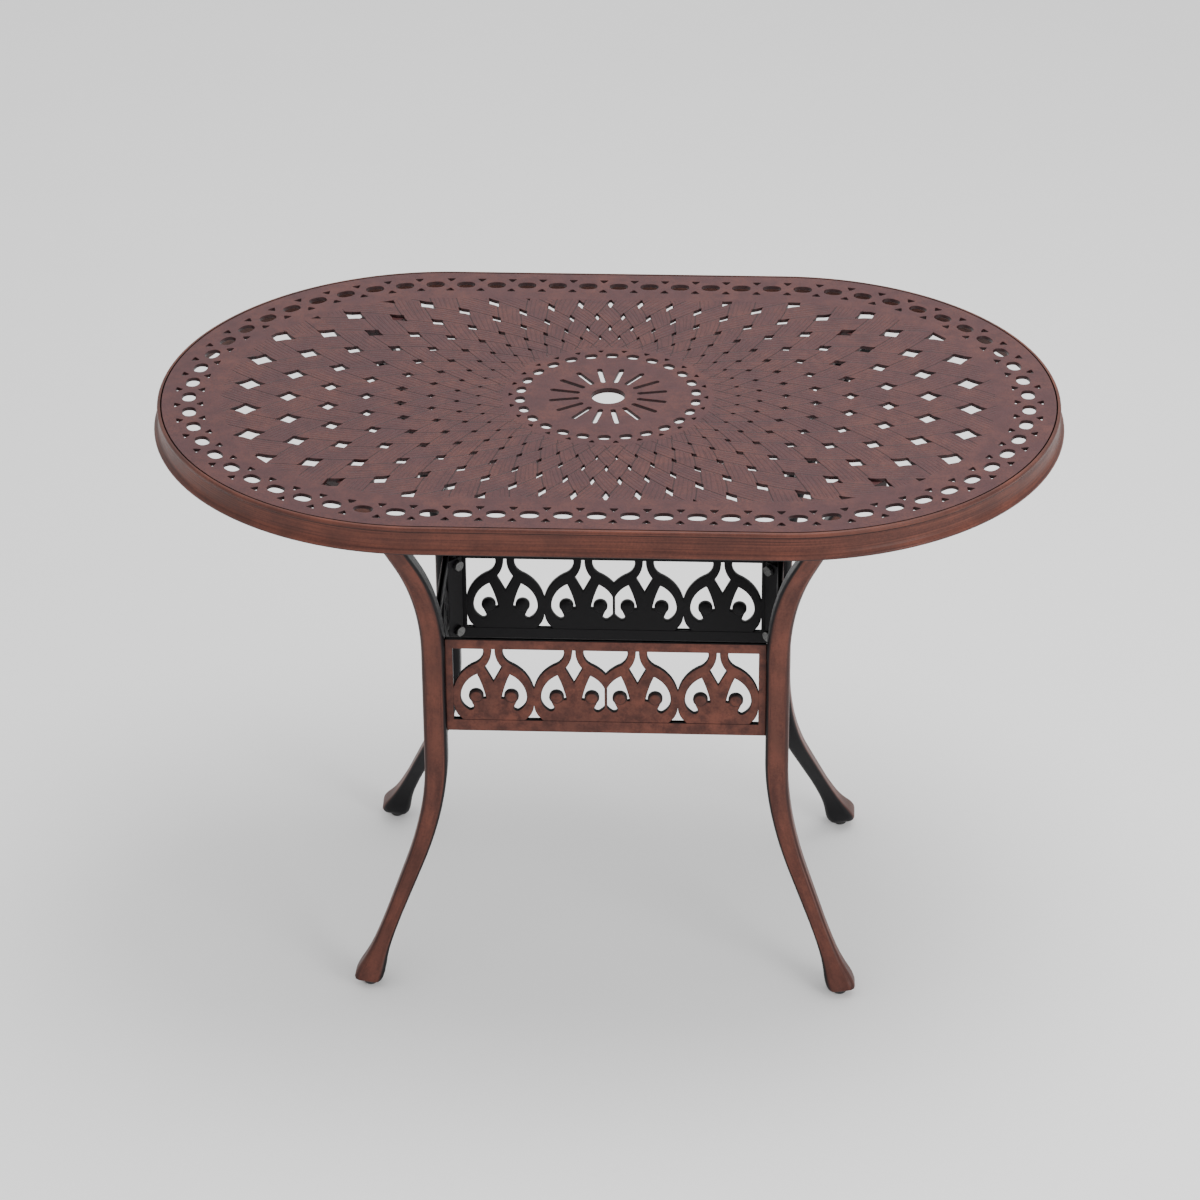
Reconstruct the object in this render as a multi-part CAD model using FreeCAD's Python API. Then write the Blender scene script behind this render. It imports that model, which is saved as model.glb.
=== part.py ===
import FreeCAD, Part
import math
import os

from FreeCAD import Rotation, Vector

# Umbrella table: a pierced oval top on four bowed legs, tied together by four scroll panels.
# Sizes are in millimetres. X runs along the table, -Y is the front and Z is up from the floor.
# Small rounds that repeat many times are laid out in a few straight sides, to keep the faces few.

# Tabletop: overall sizes and walls
TOP_LENGTH = 1145.0
TOP_WIDTH = 710.0
TABLE_HEIGHT = 760.0
PLATE_THICKNESS = 5.0
RIM_DEPTH = 35.0
RIM_WALL = 7.0
RIM_LIP = 5.0
RIM_LIP_HEIGHT = 8.0
RIM_BEVEL = 2.5
UMBRELLA_HOLE_RADIUS = 21.0
COLLAR_WALL = 7.0
COLLAR_DEPTH = 2.0

# Chain border: oval openings along a line inside the edge
CHAIN_INSET = 45.0
CHAIN_LINKS = 70
CHAIN_OVAL_LENGTH = 25.0
CHAIN_OVAL_WIDTH = 18.0
CHAIN_OVAL_SIDES = 6

# Lattice: straps are circular arcs of both hands, and each cell between them has a diamond opening
FIELD_INSET = 84.0
STRAP_COUNT = 42
STRAP_RADIUS = 523.7
STRAP_CENTRE_RADIUS = 473.6
OUTER_RING_RADIUS = 455.0
RING_COUNT = 6
LATTICE_TURN = 6.2
NARROWEST_DIAMOND = 3.6
SHORTEST_DIAMOND = 13.0

# Medallion round the umbrella hole
OVAL_COUNT = 26
OVAL_CIRCLE_RADIUS = 111.0
OVAL_LENGTH = 16.0
OVAL_WIDTH = 12.0
OVAL_SIDES = 6
SLOT_COUNT = 16
SLOT_INNER_RADIUS = 37.0
SLOT_OUTER_RADIUS = 75.0
SLOT_WIDTH = 6.0
SLOT_END_SIDES = 2

# Scroll panels
PANEL_BOTTOM = 336.0
PANEL_HEIGHT = 135.0
TOP_RAIL = 13.6
BOTTOM_RAIL = 16.8
STILE = 9.5
FRAME_THICKNESS = 8.0
WEB_THICKNESS = 6.0
MOTIF_HALF = 51.35
MIDDLE_HALF = 40.4
MIDDLE_BAR = 2.4
BALL_RADIUS = 10.3
BALL_OUT = 22.5
BALL_UP = 51.0

# Ears at the ends of the panels, one over the other on the inner corner of the post
EAR_THICKNESS = 4.0
EAR_HEIGHT = 120.0
EAR_REACH = 8.0
EAR_ROOT = 16.0

# Legs
LEG_WIDTH = 30.0
LEG_TOP_WIDTH = 27.0
ANKLE_WIDTH = 21.0
FOOT_WIDTH = 36.0
ANKLE_HEIGHT = 90.0
FOOT_BOTTOM = 9.0
BEVEL_SHARE = 0.22
BEND_RADIUS = 370.0
BEND_ANGLE = 23.0
BEND_STEPS = 6
UPPER_BEND_DROP = 20.0
LOWER_BEND_DROP = 40.0
PAD_DEPTH = 12.0
PAD_CLEARANCE = 0.3

# Leg flanges and the bosses that they bolt to
FLANGE_LENGTH = 84.0
FLANGE_WIDTH = 40.0
FLANGE_BEVEL = 10.0
FLANGE_THICKNESS = 8.0
FLANGE_BOLT_SPACING = 56.0
BOSS_DEPTH = 10.0

# Hexagon bolts
BOLT_SIDES = 8
BOLT_RADIUS = 4.0
BOLT_HEAD = 13.0
BOLT_HEAD_HEIGHT = 5.3
BOLT_GRIP = 10.0
CORNER_BOLT_INSET = 18.0
THREAD_CLEARANCE = 0.1
HOLE_CLEARANCE = 0.4
HOLE_END_GAP = 0.8

# Levelling glides
GLIDE_SPREAD = 86.0
GLIDE_RADIUS = 9.0
GLIDE_BEVEL = 1.5
GLIDE_SIDES = 12
STUD_RADIUS = 4.0
STUD_CLEARANCE = 0.05
STUD_LENGTH = 26.0

# Worked out from the sizes above
END_RADIUS = TOP_WIDTH / 2
HALF_STRAIGHT = (TOP_LENGTH - TOP_WIDTH) / 2
PLATE_BOTTOM = TABLE_HEIGHT - PLATE_THICKNESS
PLATE_RADIUS = END_RADIUS - RIM_LIP - RIM_WALL
CHAIN_RADIUS = END_RADIUS - CHAIN_INSET
FIELD_RADIUS = END_RADIUS - FIELD_INSET
PANEL_TOP = PANEL_BOTTOM + PANEL_HEIGHT
LONG_PANEL_HALF = MIDDLE_HALF + 3 * MOTIF_HALF
SHORT_PANEL_HALF = MIDDLE_HALF + MOTIF_HALF
POST_X = LONG_PANEL_HALF + STILE + LEG_WIDTH / 2
POST_Y = SHORT_PANEL_HALF + STILE + LEG_WIDTH / 2
FLANGE_TOP = PLATE_BOTTOM - BOSS_DEPTH
FLANGE_BOTTOM = FLANGE_TOP - FLANGE_THICKNESS
UPPER_BEND_START = PANEL_TOP - UPPER_BEND_DROP
LOWER_BEND_START = PANEL_BOTTOM - LOWER_BEND_DROP
CORNER_BOLT_HEIGHTS = (PANEL_BOTTOM + CORNER_BOLT_INSET, PANEL_TOP - CORNER_BOLT_INSET)

UP = Vector(0, 0, 1)
OUTWARD = Vector(1, 1, 0) / math.sqrt(2)
ACROSS = Vector(-1, 1, 0) / math.sqrt(2)
CORNERS = {
    "rear_right": (1, 1),
    "rear_left": (-1, 1),
    "front_right": (1, -1),
    "front_left": (-1, -1),
}


def flat(x, y):
    return Vector(x, y, 0)


def sheet(wires):
    """A flat face from an outline and the outlines of the holes in it."""
    return Part.makeFace(wires, "Part::FaceMakerBullseye")


def polygon(points):
    return Part.makePolygon(points + points[:1])


def prism(points, rise):
    """A block from the corners of its base and the vector to its other end."""
    return Part.Face(polygon(points)).extrude(rise)


def bend(start, middle, end, sides):
    """Corners along a circular arc that is laid out in a few straight sides, without the last corner."""
    return Part.Arc(start, middle, end).discretize(sides + 1)[:-1]


def circle_corners(radius, sides):
    turns = [2 * math.pi * side / sides for side in range(sides)]
    return [flat(radius * math.cos(turn), radius * math.sin(turn)) for turn in turns]


def stack(rings):
    """A solid with flat sides from level outlines of as many corners each, the lowest first."""
    faces = [Part.Face(polygon(rings[0])), Part.Face(polygon(rings[-1]))]
    for low, high in zip(rings, rings[1:]):
        for side in range(len(low)):
            faces.append(Part.Face(polygon([low[side - 1], low[side], high[side], high[side - 1]])))
    return Part.Solid(Part.Shell(faces))


def rod(radius, length, base, direction=UP):
    """A many-sided rod, used for shanks and for the holes that they go into."""
    solid = prism(circle_corners(radius, BOLT_SIDES), UP * length)
    solid.Placement = FreeCAD.Placement(base, Rotation(UP, direction))
    return solid


def fused(first, others):
    return first.fuse(others).removeSplitter()


def in_x(shape):
    return shape.mirror(Vector(), Vector(1, 0, 0))


def at_corner(shape, sign_x, sign_y):
    """The shape of the rear right corner, mirrored to the corner with these signs."""
    if sign_x < 0:
        shape = in_x(shape)
    if sign_y < 0:
        shape = shape.mirror(Vector(), Vector(0, 1, 0))
    return shape


# Tabletop


def long_oval(radius, z):
    """A long oval line round the table: two straight sides and two half circles."""
    a, r = HALF_STRAIGHT, radius
    right = Part.Arc(Vector(a, -r, z), Vector(a + r, 0, z), Vector(a, r, z)).toShape()
    left = Part.Arc(Vector(-a, r, z), Vector(-a - r, 0, z), Vector(-a, -r, z)).toShape()
    front = Part.makeLine(Vector(-a, -r, z), Vector(a, -r, z))
    rear = Part.makeLine(Vector(a, r, z), Vector(-a, r, z))
    return Part.Wire([front, right, rear, left])


def placed(points, x, y, angle):
    """An opening's outline, drawn round the origin with X pointing outward, at its place in the plate."""
    wire = polygon(points)
    wire.Placement = FreeCAD.Placement(Vector(x, y, PLATE_BOTTOM), Rotation(UP, math.degrees(angle)))
    return wire


def oval(width, length, sides):
    """Corners of a small oval with width along X and length along Y."""
    turns = [2 * math.pi * side / sides for side in range(sides)]
    return [flat(width / 2 * math.sin(turn), length / 2 * math.cos(turn)) for turn in turns]


def slot():
    side = SLOT_WIDTH / 2
    near, far = SLOT_INNER_RADIUS + side, SLOT_OUTER_RADIUS - side
    outer = bend(flat(far, -side), flat(far + side, 0), flat(far, side), SLOT_END_SIDES)
    inner = bend(flat(near, side), flat(near - side, 0), flat(near, -side), SLOT_END_SIDES)
    return outer + [flat(far, side)] + inner + [flat(near, -side)]


def along_chain(distance):
    """Point and outward angle at a distance along the chain, from the middle of the front."""
    half_circle = math.pi * CHAIN_RADIUS
    half_way = 2 * HALF_STRAIGHT + half_circle
    if distance >= half_way:
        x, y, angle = along_chain(distance - half_way)
        return -x, -y, angle + math.pi
    if distance < HALF_STRAIGHT:
        return distance, -CHAIN_RADIUS, -math.pi / 2
    distance -= HALF_STRAIGHT
    if distance < half_circle:
        angle = distance / CHAIN_RADIUS - math.pi / 2
        return HALF_STRAIGHT + CHAIN_RADIUS * math.cos(angle), CHAIN_RADIUS * math.sin(angle), angle
    return HALF_STRAIGHT - (distance - half_circle), CHAIN_RADIUS, math.pi / 2


def chain_openings():
    pitch = (4 * HALF_STRAIGHT + 2 * math.pi * CHAIN_RADIUS) / CHAIN_LINKS
    link = oval(CHAIN_OVAL_WIDTH, CHAIN_OVAL_LENGTH, CHAIN_OVAL_SIDES)
    return [placed(link, *along_chain(step * pitch)) for step in range(CHAIN_LINKS)]


def ring_radius(ring):
    """Where left and right straps cross: each ring inward turns them by half a pitch."""
    middle, strap = STRAP_CENTRE_RADIUS, STRAP_RADIUS
    outer = OUTER_RING_RADIUS
    turn = math.acos((outer**2 + middle**2 - strap**2) / (2 * outer * middle))
    turn += ring * math.pi / STRAP_COUNT
    return middle * math.cos(turn) + math.sqrt(strap**2 - (middle * math.sin(turn)) ** 2)


def diamond_size(radius, angle):
    """Length and width of a diamond: broad towards the ends, slender towards the sides."""
    end_share = math.cos(angle) ** 2
    side_share = 1 - end_share
    end_length = 0.12 * (radius - 0.27 * OUTER_RING_RADIUS)
    end_width = 0.089 * (radius - 0.25 * OUTER_RING_RADIUS)
    side_length = 0.134 * (radius - 0.14 * OUTER_RING_RADIUS)
    side_width = 0.067 * (radius - 0.22 * OUTER_RING_RADIUS)
    length = end_share * end_length + side_share * side_length
    width = end_share * end_width + side_share * side_width
    return length, max(width, NARROWEST_DIAMOND)


def diamond(length, width, room):
    """A diamond with as much of its outer half as the room between its middle and the border holds."""
    a, b = length / 2, width / 2
    if room > 0.9 * a:
        return [flat(a, 0), flat(0, b), flat(-a, 0), flat(0, -b)]
    half_cut = b * (1 - abs(room) / a)
    cut = [flat(room, -half_cut), flat(room, half_cut)]
    if room > 0:
        return cut + [flat(0, b), flat(-a, 0), flat(0, -b)]
    return cut + [flat(-a, 0)]


def lattice_openings():
    """Diamonds in rings round the middle. The border cuts off those that it crosses."""
    wires = []
    for ring in range(RING_COUNT):
        radius = ring_radius(ring)
        for step in range(STRAP_COUNT):
            angle = math.radians(LATTICE_TURN) + (2 * step + ring % 2) * math.pi / STRAP_COUNT
            x, y = radius * math.cos(angle), radius * math.sin(angle)
            length, width = diamond_size(radius, angle)
            past_straight = max(abs(x) - HALF_STRAIGHT, 0)
            room = FIELD_RADIUS - math.hypot(past_straight, y)
            if length / 2 + room > SHORTEST_DIAMOND:
                wires.append(placed(diamond(length, width, room), x, y, angle))
    return wires


def medallion_openings():
    wires = []
    for step in range(OVAL_COUNT):
        angle = (2 * step + 1) * math.pi / OVAL_COUNT
        x, y = OVAL_CIRCLE_RADIUS * math.cos(angle), OVAL_CIRCLE_RADIUS * math.sin(angle)
        wires.append(placed(oval(OVAL_WIDTH, OVAL_LENGTH, OVAL_SIDES), x, y, angle))
    for step in range(SLOT_COUNT):
        wires.append(placed(slot(), 0, 0, (2 * step + 1) * math.pi / SLOT_COUNT))
    return wires


def plate():
    hole = Part.Wire([Part.makeCircle(UMBRELLA_HOLE_RADIUS, Vector(0, 0, PLATE_BOTTOM))])
    openings = chain_openings() + lattice_openings() + medallion_openings()
    return sheet([long_oval(PLATE_RADIUS, PLATE_BOTTOM), hole] + openings).extrude(UP * PLATE_THICKNESS)


def rim_section(x):
    """The rim's section on the front side: a bevelled edge, a flat band and a lower lip."""
    lip_top = RIM_DEPTH - RIM_LIP_HEIGHT
    inner = RIM_LIP + RIM_WALL
    corners = [
        (inner, 0),
        (RIM_LIP + RIM_BEVEL, 0),
        (RIM_LIP, RIM_BEVEL),
        (RIM_LIP, lip_top),
        (0, RIM_DEPTH - RIM_LIP_HEIGHT / 2),
        (RIM_BEVEL, RIM_DEPTH),
        (inner, RIM_DEPTH),
    ]
    return Part.Face(
        polygon([Vector(x, -END_RADIUS + inset, TABLE_HEIGHT - drop) for inset, drop in corners])
    )


def rim():
    straight = rim_section(-HALF_STRAIGHT).extrude(Vector(2 * HALF_STRAIGHT, 0, 0))
    end = rim_section(HALF_STRAIGHT).revolve(Vector(HALF_STRAIGHT, 0, 0), UP, 180)
    other_half = [shape.rotated(Vector(), UP, 180) for shape in (straight, end)]
    return fused(straight, [end] + other_half)


def collar():
    base = Vector(0, 0, PLATE_BOTTOM - COLLAR_DEPTH)
    tube = Part.makeCylinder(UMBRELLA_HOLE_RADIUS + COLLAR_WALL, COLLAR_DEPTH, base)
    return tube.cut(Part.makeCylinder(UMBRELLA_HOLE_RADIUS, COLLAR_DEPTH, base))


def flange_bolt_points():
    """The two bolt places of the rear right leg, at floor level."""
    middle = leg_point(FLANGE_TOP)
    middle.z = 0
    return [middle + ACROSS * side * FLANGE_BOLT_SPACING / 2 for side in (-1, 1)]


def flange_block(z, thickness):
    """The long block with bevelled corners that the leg's flange and the top's boss share."""
    middle = leg_point(FLANGE_TOP)
    middle.z = z
    a, b = FLANGE_LENGTH / 2, FLANGE_WIDTH / 2
    c, d = a - FLANGE_BEVEL, b - FLANGE_BEVEL
    corners = [(a, -d), (a, d), (c, b), (-c, b), (-a, d), (-a, -d), (-c, -b), (c, -b)]
    return prism([middle + ACROSS * along + OUTWARD * out for along, out in corners], UP * thickness)


def boss():
    """The block under the plate that the rear right leg bolts to."""
    depth = BOLT_GRIP - HOLE_END_GAP
    holes = [
        rod(BOLT_RADIUS + THREAD_CLEARANCE, depth, point + UP * FLANGE_TOP)
        for point in flange_bolt_points()
    ]
    return flange_block(FLANGE_TOP, BOSS_DEPTH).cut(holes)


def table_top():
    rear_right_boss = boss()
    bosses = [at_corner(rear_right_boss, *signs) for signs in CORNERS.values()]
    return fused(plate(), [rim(), collar()] + bosses)


# Legs


def leg_offset(z):
    """How far the leg's middle line stands out from its post, along X and along Y alike."""
    rise = max(z - UPPER_BEND_START, LOWER_BEND_START - z, 0)
    angle = math.radians(BEND_ANGLE)
    bend_rise = BEND_RADIUS * math.sin(angle)
    if rise < bend_rise:
        return BEND_RADIUS - math.sqrt(BEND_RADIUS**2 - rise**2)
    bend_out = BEND_RADIUS * (1 - math.cos(angle))
    return bend_out + (rise - bend_rise) * math.tan(angle)


def leg_point(z):
    out = leg_offset(z)
    return Vector(POST_X + out, POST_Y + out, z)


def leg_section(z, width):
    """A level square with bevelled corners."""
    a = width / 2
    b = a - width * BEVEL_SHARE
    corners = [(a, -b), (a, b), (b, a), (-b, a), (-a, b), (-a, -b), (-b, -a), (b, -a)]
    return [leg_point(z) + flat(x, y) for x, y in corners]


def leg_width(z):
    """The leg thins towards the ankle and, a little, towards the top."""
    if z > PANEL_TOP:
        share = (z - PANEL_TOP) / (FLANGE_TOP - PANEL_TOP)
        return LEG_WIDTH + share * (LEG_TOP_WIDTH - LEG_WIDTH)
    if z > LOWER_BEND_START:
        return LEG_WIDTH
    share = (LOWER_BEND_START - z) / (LOWER_BEND_START - ANKLE_HEIGHT)
    return LEG_WIDTH + min(share, 1) * (ANKLE_WIDTH - LEG_WIDTH)


def spread(low, high):
    return [low + (high - low) * step / BEND_STEPS for step in range(BEND_STEPS + 1)]


def foot_sections():
    """The trumpet foot below the ankle, from the bottom up."""
    rise = ANKLE_HEIGHT - FOOT_BOTTOM
    flare = FOOT_WIDTH - ANKLE_WIDTH
    sections = [
        leg_section(FOOT_BOTTOM, FOOT_WIDTH - 0.35 * flare),
        leg_section(FOOT_BOTTOM + 0.1 * rise, FOOT_WIDTH),
    ]
    for height, grown in ((0.27, 0.72), (0.5, 0.22), (0.75, 0.03)):
        sections.append(leg_section(FOOT_BOTTOM + height * rise, ANKLE_WIDTH + grown * flare))
    return sections


def leg_bar():
    """The bowed bar from the foot to the flange."""
    sections = foot_sections()
    sections += [leg_section(z, leg_width(z)) for z in spread(ANKLE_HEIGHT, LOWER_BEND_START)]
    sections += [leg_section(z, leg_width(z)) for z in spread(UPPER_BEND_START, FLANGE_BOTTOM)]
    sections.append(leg_section(FLANGE_TOP, LEG_TOP_WIDTH))
    return stack(sections)


def post_point(inward, z):
    """A point of the rear right corner, at a distance inward from the post's middle line."""
    return Vector(POST_X, POST_Y, z) - OUTWARD * inward


def pad_notch():
    """The flat inner corner of the post, where the panels' ears seat."""
    low, high = PANEL_BOTTOM - PAD_CLEARANCE, PANEL_TOP + PAD_CLEARANCE
    near, far = post_point(PAD_DEPTH, low), post_point(PAD_DEPTH + LEG_WIDTH, low)
    side = ACROSS * LEG_WIDTH
    return prism([near - side, near + side, far + side, far - side], UP * (high - low))


def glide_point(z):
    return Vector(POST_X + GLIDE_SPREAD, POST_Y + GLIDE_SPREAD, z)


def leg():
    solid = fused(leg_bar(), [flange_block(FLANGE_BOTTOM, FLANGE_THICKNESS)])
    stud_hole = rod(STUD_RADIUS + STUD_CLEARANCE, STUD_LENGTH + HOLE_END_GAP, glide_point(FOOT_BOTTOM))
    thread = BOLT_RADIUS + THREAD_CLEARANCE
    corner_holes = [
        rod(thread, BOLT_GRIP + HOLE_END_GAP, post_point(PAD_DEPTH, height), OUTWARD)
        for height in CORNER_BOLT_HEIGHTS
    ]
    flange_holes = [
        rod(BOLT_RADIUS + HOLE_CLEARANCE, FLANGE_THICKNESS, point + UP * FLANGE_BOTTOM)
        for point in flange_bolt_points()
    ]
    return solid.cut([pad_notch(), stud_hole] + corner_holes + flange_holes).Solids[0]


# Scroll panels, drawn flat with the stem of a pair of scrolls at X = 0 and the panel's bottom at Y = 0


def scroll_opening():
    """The drop-shaped opening round the ball of a scroll."""
    tip, shoulder = flat(21.0, 83.8), flat(42.0, 53.0)
    toe, hook = flat(31.0, 31.2), flat(25.6, 35.6)

    def ball(degrees):
        turn = math.radians(degrees)
        return flat(BALL_OUT + BALL_RADIUS * math.cos(turn), BALL_UP + BALL_RADIUS * math.sin(turn))

    corners = bend(tip, flat(35.6, 71.0), shoulder, 4)
    corners += bend(shoulder, flat(39.4, 39.6), toe, 3)
    corners += [toe, hook]
    corners += bend(ball(-45), ball(70), ball(185), 7)
    corners += bend(ball(185), flat(15.4, 67.0), tip, 2)
    return corners


def upper_spandrel():
    """Half of the opening between two scrolls, under the top rail."""
    rail = PANEL_HEIGHT - TOP_RAIL
    start, neck, low = flat(12.9, rail), flat(22.0, 100.8), flat(MOTIF_HALF, 63.6)
    corners = bend(start, flat(14.6, 108.6), neck, 2)
    corners += bend(neck, flat(40.6, 86.4), low, 4)
    return corners + [low, flat(MOTIF_HALF, rail)]


def lower_spandrel():
    """Half of the small opening between two scrolls, over the bottom rail."""
    base, tip = flat(MOTIF_HALF - 10.9, BOTTOM_RAIL), flat(MOTIF_HALF, 38.2)
    return bend(base, flat(MOTIF_HALF - 4.0, 24.8), tip, 2) + [tip, flat(MOTIF_HALF, BOTTOM_RAIL)]


def stem_opening():
    """The slender diamond over a stem."""
    rail = PANEL_HEIGHT - TOP_RAIL
    side = bend(flat(2.0, rail), flat(3.9, 106.6), flat(10.6, 94.4), 2) + [flat(10.6, 94.4)]
    other_side = [flat(-point.x, point.y) for point in reversed(side)]
    return side + [flat(0, 73.6)] + other_side


def cutter(points):
    """A cutter through the panel from the corners of an opening."""
    base = [Vector(point.x, -FRAME_THICKNESS, point.y) for point in points]
    return prism(base, Vector(0, 2 * FRAME_THICKNESS, 0))


def half_motif(limit):
    """The openings on one side of a stem, up to the middle line between two stems."""
    keep = Part.makeBox(limit, 2 * FRAME_THICKNESS, PANEL_HEIGHT, Vector(0, -FRAME_THICKNESS, 0))
    inside_bar = keep.translated(Vector(-MIDDLE_BAR / 2, 0, 0))
    openings = [cutter(scroll_opening()).common(inside_bar), cutter(upper_spandrel()).common(keep)]
    if limit > MIDDLE_HALF:
        openings.append(cutter(lower_spandrel()).common(keep))
    return openings


def motif(stem, left_limit, right_limit):
    """All openings of one pair of scrolls, at its stem's place along the panel."""
    left = [in_x(shape) for shape in half_motif(left_limit)]
    shapes = half_motif(right_limit) + left + [cutter(stem_opening())]
    return [shape.translated(Vector(stem, 0, 0)) for shape in shapes]


def openings_to_the_right(pairs):
    """The openings from the panel's middle to its right end."""
    shapes = motif(MIDDLE_HALF, MIDDLE_HALF, MOTIF_HALF)
    for step in range(1, pairs):
        shapes += motif(MIDDLE_HALF + 2 * step * MOTIF_HALF, MOTIF_HALF, MOTIF_HALF)
    return shapes


def block(half_length, z_low, z_high, thickness):
    size = (2 * half_length, thickness, z_high - z_low)
    return Part.makeBox(*size, Vector(-half_length, -thickness / 2, z_low))


def ear(half_length, first_seat):
    """The ear at the panel's right end, turned to lie on the post's inner corner.
    It starts at a distance of first_seat inward from the post's middle line."""
    post = Vector(half_length + STILE + LEG_WIDTH / 2, 0, 0)
    inward = Vector(-1, 1, 0) / math.sqrt(2)
    along = Vector(1, 1, 0) / math.sqrt(2)
    seat = post + inward * first_seat
    base = seat + UP * (PANEL_HEIGHT - EAR_HEIGHT) / 2
    near, far = base - along * EAR_ROOT, base + along * EAR_REACH
    step = inward * EAR_THICKNESS
    holes = [
        rod(BOLT_RADIUS + HOLE_CLEARANCE, EAR_THICKNESS, seat + UP * (height - PANEL_BOTTOM), inward)
        for height in CORNER_BOLT_HEIGHTS
    ]
    return prism([near, far, far + step, near + step], UP * EAR_HEIGHT).cut(holes)


def panel(half_length, pairs, first_seat):
    """A scroll panel with its frame and ears, with its outer face towards -Y."""
    outer = half_length + STILE
    right = openings_to_the_right(pairs)
    web = block(outer, 0, PANEL_HEIGHT, WEB_THICKNESS).cut(right + [in_x(shape) for shape in right])
    frame = block(outer, 0, PANEL_HEIGHT, FRAME_THICKNESS)
    frame = frame.cut(block(half_length, BOTTOM_RAIL, PANEL_HEIGHT - TOP_RAIL, 2 * FRAME_THICKNESS))
    right_ear = ear(half_length, first_seat)
    return fused(web, [frame, right_ear, in_x(right_ear)])


def panels():
    long_panel = panel(LONG_PANEL_HALF, 2, PAD_DEPTH)
    short_panel = panel(SHORT_PANEL_HALF, 1, PAD_DEPTH + EAR_THICKNESS)
    places = {
        "front_panel": (long_panel, 0, Vector(0, -POST_Y, PANEL_BOTTOM)),
        "rear_panel": (long_panel, 180, Vector(0, POST_Y, PANEL_BOTTOM)),
        "right_panel": (short_panel, 90, Vector(POST_X, 0, PANEL_BOTTOM)),
        "left_panel": (short_panel, -90, Vector(-POST_X, 0, PANEL_BOTTOM)),
    }
    return {
        name: shape.rotated(Vector(), UP, turn).translated(position)
        for name, (shape, turn, position) in places.items()
    }


# Fasteners


def hexagon_bolt(length, seat, direction):
    """A bolt whose head stands on the seat and whose shank runs along the direction."""
    head = prism(circle_corners(BOLT_HEAD / math.sqrt(3), 6), -UP * BOLT_HEAD_HEIGHT)
    bolt = fused(head, [rod(BOLT_RADIUS, length, Vector())])
    bolt.Placement = FreeCAD.Placement(seat, Rotation(UP, direction))
    return bolt


def top_bolts():
    """Two bolts that hold the rear right leg to the top."""
    length = FLANGE_THICKNESS + BOLT_GRIP - 2 * HOLE_END_GAP
    return [hexagon_bolt(length, point + UP * FLANGE_BOTTOM, UP) for point in flange_bolt_points()]


def corner_bolts():
    """Two bolts that hold the panels' ears to the rear right post."""
    stack_height = 2 * EAR_THICKNESS
    seats = [post_point(PAD_DEPTH + stack_height, height) for height in CORNER_BOLT_HEIGHTS]
    return [hexagon_bolt(stack_height + BOLT_GRIP, seat, OUTWARD) for seat in seats]


# Levelling glides


def foot_glide():
    """A stud that screws into the foot, on a round base with a bevelled lower edge."""

    def ring(radius, z):
        return [glide_point(z) + corner for corner in circle_corners(radius, GLIDE_SIDES)]

    base = stack(
        [
            ring(GLIDE_RADIUS - GLIDE_BEVEL, 0),
            ring(GLIDE_RADIUS, GLIDE_BEVEL),
            ring(GLIDE_RADIUS, FOOT_BOTTOM),
        ]
    )
    return fused(base, [rod(STUD_RADIUS, STUD_LENGTH, glide_point(FOOT_BOTTOM))])


def save(name, shapes):
    shape = Part.makeCompound(shapes) if len(shapes) > 1 else shapes[0]
    shape.exportStep("parts/" + name + ".step")
    print(name, "solids", len(shape.Solids), "valid", shape.isValid(), "cm3", round(shape.Volume / 1000, 1))


def main():
    os.makedirs("parts", exist_ok=True)
    save("table_top", [table_top()])
    for name, shape in panels().items():
        save(name, [shape])
    at_each_corner = {
        "leg": [leg()],
        "foot_glide": [foot_glide()],
        "top_bolts": top_bolts(),
        "corner_bolts": corner_bolts(),
    }
    for name, shapes in at_each_corner.items():
        for corner, signs in CORNERS.items():
            save(name + "_" + corner, [at_corner(shape, *signs) for shape in shapes])


main()
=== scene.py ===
import math

import bmesh
import bpy
from mathutils import Matrix, Vector
from mathutils.geometry import delaunay_2d_cdt


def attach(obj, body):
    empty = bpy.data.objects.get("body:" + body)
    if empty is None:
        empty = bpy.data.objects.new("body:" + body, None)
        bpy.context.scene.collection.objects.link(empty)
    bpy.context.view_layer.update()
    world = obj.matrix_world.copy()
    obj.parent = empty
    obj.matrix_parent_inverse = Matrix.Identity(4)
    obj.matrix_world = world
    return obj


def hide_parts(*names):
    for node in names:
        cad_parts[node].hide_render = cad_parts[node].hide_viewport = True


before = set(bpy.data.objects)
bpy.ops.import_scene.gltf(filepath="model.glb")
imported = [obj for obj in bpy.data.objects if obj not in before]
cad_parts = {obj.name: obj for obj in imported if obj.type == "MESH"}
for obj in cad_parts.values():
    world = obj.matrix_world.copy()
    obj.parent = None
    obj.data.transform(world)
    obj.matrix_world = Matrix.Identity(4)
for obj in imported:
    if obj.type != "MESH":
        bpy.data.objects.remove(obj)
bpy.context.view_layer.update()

# Umbrella table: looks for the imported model. Sizes are in metres, in the frame of the solids:
# X runs along the table, -Y is the front and Z is up from the floor.

# Tabletop
TOP_LENGTH = 1.145
TOP_WIDTH = 0.710
TABLE_HEIGHT = 0.760
PLATE_THICKNESS = 0.005
PLATE_BEVEL = 0.0008
RIM_DEPTH = 0.035
RIM_WALL = 0.007
RIM_LIP = 0.005
RIM_LIP_HEIGHT = 0.008
UMBRELLA_HOLE_RADIUS = 0.021
COLLAR_WALL = 0.007
COLLAR_DEPTH = 0.002

# Chain border
CHAIN_INSET = 0.045
CHAIN_LINKS = 70
CHAIN_OVAL_LENGTH = 0.0235
CHAIN_OVAL_WIDTH = 0.017
GUSSET_DISTANCE = 0.0135
GUSSET_LENGTH = 0.012
GUSSET_WIDTH = 0.009

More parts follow.
